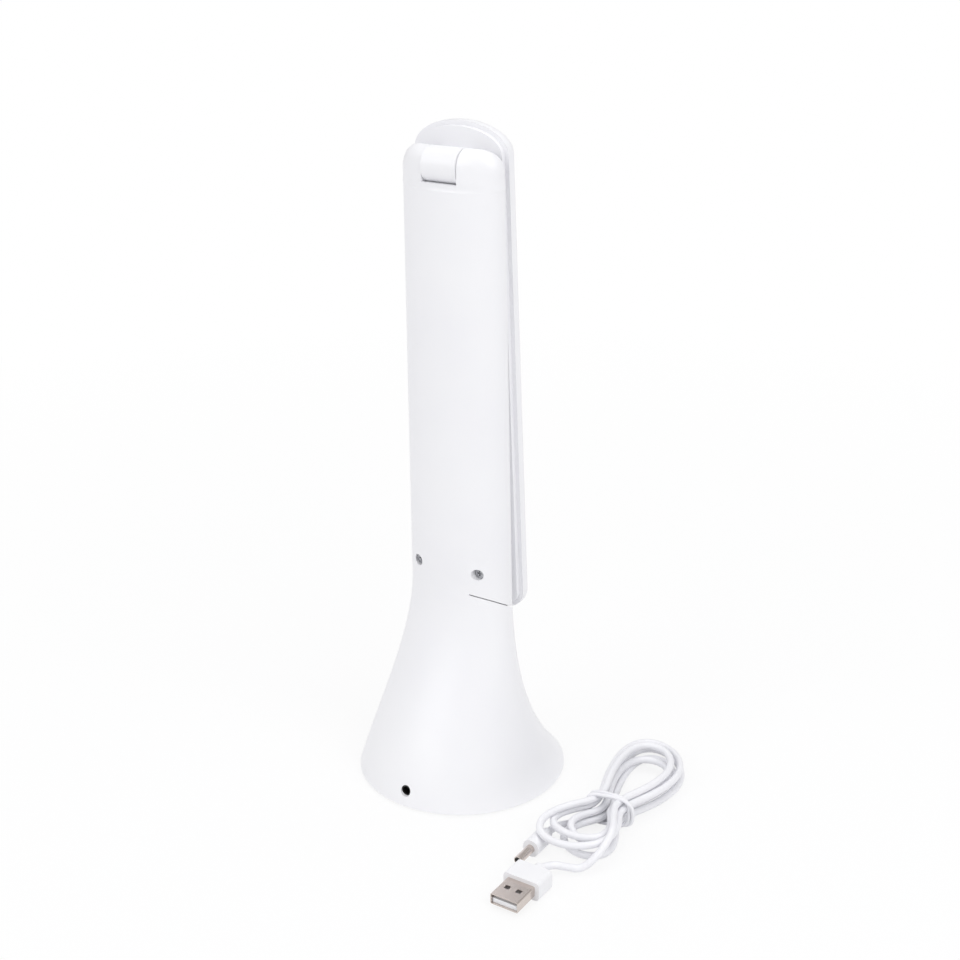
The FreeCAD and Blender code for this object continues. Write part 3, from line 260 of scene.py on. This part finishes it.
# How the strands come to rest: rounds, and in each round how far a free strand sinks in millimetres,
# which share of an overlap lifts the later strand and presses the earlier one down, and which share of a
# kink is straightened.
ROUNDS, SINK, LIFT, PRESS, STIFFNESS = 400, 0.03, 0.4, 0.1, 0.03


def hank_points():
    """Hourglass loops seen from above. On each half turn an angle runs from 0 to 180 degrees. The
    distance along the lobe is its reach times the sine. The distance across is its breadth times sine and
    cosine, plus a lean that grows with the sine squared and a sway, first one way and then, with the
    sine's cube, the other."""
    turn = np.arange(HALF_TURNS * STEPS + 1) / STEPS
    half = np.minimum(turn.astype(int), HALF_TURNS - 1)
    angle = np.pi * (turn - half)
    rise, ease = np.sin(angle), (1 - np.cos(angle)) / 2
    side = np.where(half % 2 == 0, 1.0, -1.0)
    across = ((1 - ease) * STRAND_ACROSS[half] + ease * STRAND_ACROSS[half + 1]) * np.cos(angle) ** 2
    across += side * BREADTH[half] * rise * np.cos(angle)
    across += LEAN[half] * rise ** 2 + SWAY[half] * (SWAY_OUT * rise ** 3 - SWAY_BACK * rise)
    along = -side * REACH[half] * rise
    return np.stack([WAIST[0] + across, WAIST[1] + along, np.full(len(turn), CORD_RADIUS)], axis=1)


def ground(places):
    """The least height of the cord's middle: on the floor, on the tie's wire at the waist or over the
    round plug."""
    on_tie = 2 * TIE_RADIUS * np.exp(-((places[:, 1] - WAIST[1]) / TIE_HUMP) ** 2)
    past = np.maximum(np.abs(places[:, 1] - ROUND_PLUG[1]) - PLUG_HALF_LENGTH, 0)
    off_plug = np.hypot(places[:, 0] - ROUND_PLUG[0], past) / PLUG_HUMP
    over_plug = (PLUG_HEIGHT + PLUG_RADIUS) * np.exp(-off_plug ** PLUG_HUMP_POWER)
    return CORD_RADIUS + FLOOR_GAP + np.maximum(on_tie, over_plug)


def settled(route, held=(3, 4)):
    """Lets the strands lie on each other: where two come closer than their spacing, the later one is
    lifted and the earlier one is pressed down to the ground, and each point is drawn a little to the
    height of its neighbours. Heights are measured on the quadratic spline that the points control, and
    the points at the plugs are held."""
    count, parts = len(route), 8
    share = np.tile((np.arange(parts) + 0.5) / parts, count - 2)
    middle = np.repeat(np.arange(1, count - 1), parts)
    blend = np.zeros((len(share), count))
    rows = np.arange(len(share))
    blend[rows, middle - 1] = (1 - share) ** 2 / 2
    blend[rows, middle] = 0.5 + share * (1 - share)
    blend[rows, middle + 1] = share ** 2 / 2
    places = blend @ route
    apart = np.hypot(*(places[:, None, axis] - places[None, :, axis] for axis in (0, 1)))
    own_stretch = 2 * parts
    upper, lower = np.nonzero((apart < STRAND_SPACING) & (rows[:, None] - rows[None, :] > own_stretch))
    clear = np.sqrt(STRAND_SPACING ** 2 - apart[upper, lower] ** 2)
    free = np.ones(count)
    free[:held[0]] = free[count - held[1]:] = 0.0
    lowest = ground(places)
    height = route[:, 2].copy()
    for _ in range(ROUNDS):
        level = blend @ height
        short = np.maximum(clear - level[upper] + level[lower], 0)
        lift = np.full(len(rows), -SINK)
        np.maximum.at(lift, upper, LIFT * short)
        drop = np.zeros(len(rows))
        np.maximum.at(drop, lower, PRESS * short)
        lift = np.maximum(lift - drop, lowest - level)
        height += free * (blend.T @ lift) / blend.sum(axis=0)
        height[1:-1] += STIFFNESS * free[1:-1] * (height[:-2] - 2 * height[1:-1] + height[2:])
    return np.c_[route[:, :2], height]


def waist_tie():
    """A thin soft wire wound twice round the hank's waist. Each turn is a rounded oval, (x / wide) ** 3.5
    + (z / tall) ** 3.5 = 1. The two turns are one closed line that leans, lies side by side by half the
    angle's cosine and crosses itself on one side, where half the angle's sine sets the turns apart."""
    power = 3.5
    half_size = np.array([8.6, 1.0, 6.4])
    steps_along, steps_round = 160, 12
    angle, round_it = np.meshgrid(np.linspace(0, 4 * np.pi, steps_along, endpoint=False),
                                  np.linspace(0, 2 * np.pi, steps_round, endpoint=False), indexing="ij")
    way = np.stack([np.cos(angle), np.zeros_like(angle), np.sin(angle)], axis=-1)
    oval = way * np.sum(np.abs(way / half_size) ** power, axis=-1, keepdims=True) ** (-1 / power)
    out = np.sign(oval) * np.abs(oval / half_size) ** (power - 1) / half_size
    out /= np.linalg.norm(out, axis=-1, keepdims=True)
    apart, lean, beside = 0.85, 1.2, 1.3
    over = apart * (1 + np.sin(angle / 2)) * (1 - np.cos(angle)) / 2
    sideways = lean * np.cos(angle) + beside * np.cos(angle / 2)
    shift = np.stack([over * np.cos(angle), sideways, np.zeros_like(angle)], axis=-1)
    ring = oval + shift + np.array([*WAIST, TIE_RADIUS + half_size[2]])
    wire = np.cos(round_it)[..., None] * out + np.sin(round_it)[..., None] * np.array([0.0, 1.0, 0.0])
    tie = closed_grid("waist_tie", (ring + TIE_RADIUS * wire) * MM, JACKET, "stand")
    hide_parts("cable_tie")
    return tie


def charging_lead():
    """The lead as one curve: its control points are the route of the tails and the loops of the hank."""
    route = settled(np.concatenate([DC_TAIL, hank_points(), USB_TAIL])) * MM
    curve = bpy.data.curves.new("charging_lead", "CURVE")
    curve.dimensions = "3D"
    curve.bevel_depth = CORD_RADIUS * MM
    curve.bevel_resolution = 5
    curve.resolution_u = 8
    curve.use_fill_caps = True
    line = curve.splines.new("NURBS")
    line.points.add(len(route) - 1)
    line.points.foreach_set("co", np.c_[route, np.ones(len(route))].ravel())
    line.order_u = 3
    line.use_endpoint_u = True
    curve.materials.append(JACKET)
    lead = bpy.data.objects.new("charging_lead", curve)
    bpy.context.collection.objects.link(lead)
    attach(lead, "stand")
    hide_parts("cable_hank", "cable_tail_usb", "cable_tail_dc")
    plugs = [nodes[name] for name in ("usb_shell", "usb_tongue", "usb_grip", "dc_plug_sleeve",
                                      "dc_plug_insert", "dc_plug_grip")]
    plugs + [waist_tie()]


def white_floor():
    """A wide white floor. The camera sees it nearly white and still sees the shadows on it."""
    edge = 20.0
    corners = np.array([[[-edge, -edge, 0], [edge, -edge, 0]], [[-edge, edge, 0], [edge, edge, 0]]])
    made = bpy.data.materials.new("paper_floor_white")
    made.use_nodes = True
    tree = made.node_tree
    tree.nodes.clear()
    paper = add(tree, "ShaderNodeBsdfDiffuse", {"Color": linear("#f2f2f3")}).outputs[0]
    bright = add(tree, "ShaderNodeEmission", {"Color": (1, 1, 1, 1), "Strength": 1.0}).outputs[0]
    rays = add(tree, "ShaderNodeLightPath").outputs
    seen = rays["Is Camera Ray"]
    for ray in ("Is Glossy Ray", "Is Transmission Ray"):
        seen = add(tree, "ShaderNodeMath", {0: seen, 1: rays[ray]}, operation="MAXIMUM").outputs[0]
    place = add(tree, "ShaderNodeTexCoord").outputs["Object"]
    away = add(tree, "ShaderNodeVectorMath", {0: place}, operation="LENGTH").outputs["Value"]
    white = add(tree, "ShaderNodeMapRange", {"Value": away, "From Min": 0.1, "From Max": 0.7, "To Min": 0.82})
    share = add(tree, "ShaderNodeMath", {0: seen, 1: white.outputs[0]}, operation="MULTIPLY")
    mixed = add(tree, "ShaderNodeMixShader", {0: share.outputs[0], 1: paper, 2: bright}).outputs[0]
    add(tree, "ShaderNodeOutputMaterial", {"Surface": mixed})
    mesh = bpy.data.meshes.new("floor")
    mesh.from_pydata(corners.reshape(-1, 3).tolist(), [], [(0, 1, 3, 2)])
    mesh.materials.append(made)
    floor = bpy.data.objects.new("floor", mesh)
    bpy.context.collection.objects.link(floor)


def soft_light():
    """A white surround, and large soft panels beside the camera, on the far side and overhead."""
    world = bpy.data.worlds.new("white_room")
    bpy.context.scene.world = world
    world.use_nodes = True
    tree = world.node_tree
    tree.nodes.clear()
    rays = add(tree, "ShaderNodeLightPath").outputs
    level = add(tree, "ShaderNodeMapRange", {"Value": rays["Is Camera Ray"], "To Min": 0.58, "To Max": 1.0})
    sky = add(tree, "ShaderNodeBackground", {"Color": (1, 1, 1, 1), "Strength": level.outputs[0]})
    add(tree, "ShaderNodeOutputWorld", {"Surface": sky.outputs[0]})
    aim = np.array([-0.02, 0.0, 0.12])
    panels = (("key_panel", (-1.5, 0.5, 1.5), 1.4, 14.0), ("side_panel", (0.6, 1.6, 1.1), 1.2, 8.3),
              ("top_panel", (0.1, -0.3, 2.2), 1.6, 12.5))
    for name, place, width, power in panels:
        lamp = bpy.data.lights.new(name, "AREA")
        lamp.size = width
        lamp.energy = power
        panel = bpy.data.objects.new(name, lamp)
        panel.matrix_world = facing(np.array(place), aim)
        bpy.context.collection.objects.link(panel)


def facing(place, target):
    """A placement whose -Z points at a target, upright where that is possible."""
    back = (place - target) / np.linalg.norm(place - target)
    right = np.cross([0.0, 0.0, 1.0], back)
    right = right / np.linalg.norm(right)
    return axes_at(place, right, np.cross(back, right), back)


def axes_at(place, right, up, back):
    """A placement from its place and its three axes."""
    turned = np.eye(4)
    turned[:3] = np.stack([right, up, back, place], axis=1)
    return Matrix(turned.tolist())


def photo_camera():
    """The photograph's camera, worked out from the foot's rim, the screws and the hinge. It looks along a
    direction on the floor, is tilted down from there and rolls a little, in degrees."""
    direction, tilt, roll = np.radians([-56.85, -21.378, -0.39])
    flat = np.array([np.cos(direction), np.sin(direction), 0.0])
    level = np.array([np.sin(direction), -np.cos(direction), 0.0])
    ahead = np.cos(tilt) * flat + np.array([0.0, 0.0, np.sin(tilt)])
    upright = np.cross(level, ahead)
    right = np.cos(roll) * level + np.sin(roll) * upright
    up = np.cos(roll) * upright - np.sin(roll) * level
    lens = bpy.data.cameras.new("photo_camera")
    lens.sensor_width = 36.0
    lens.lens = 58.69
    lens.clip_end = 60.0
    camera = bpy.data.objects.new("photo_camera", lens)
    camera.matrix_world = axes_at(np.array([-0.328717, 0.487894, 0.360369]), right, up, -ahead)
    bpy.context.collection.objects.link(camera)
    bpy.context.scene.camera = camera


photo_camera()
charging_lead()
white_floor()
soft_light()
bpy.context.scene.view_settings.view_transform = "Standard"
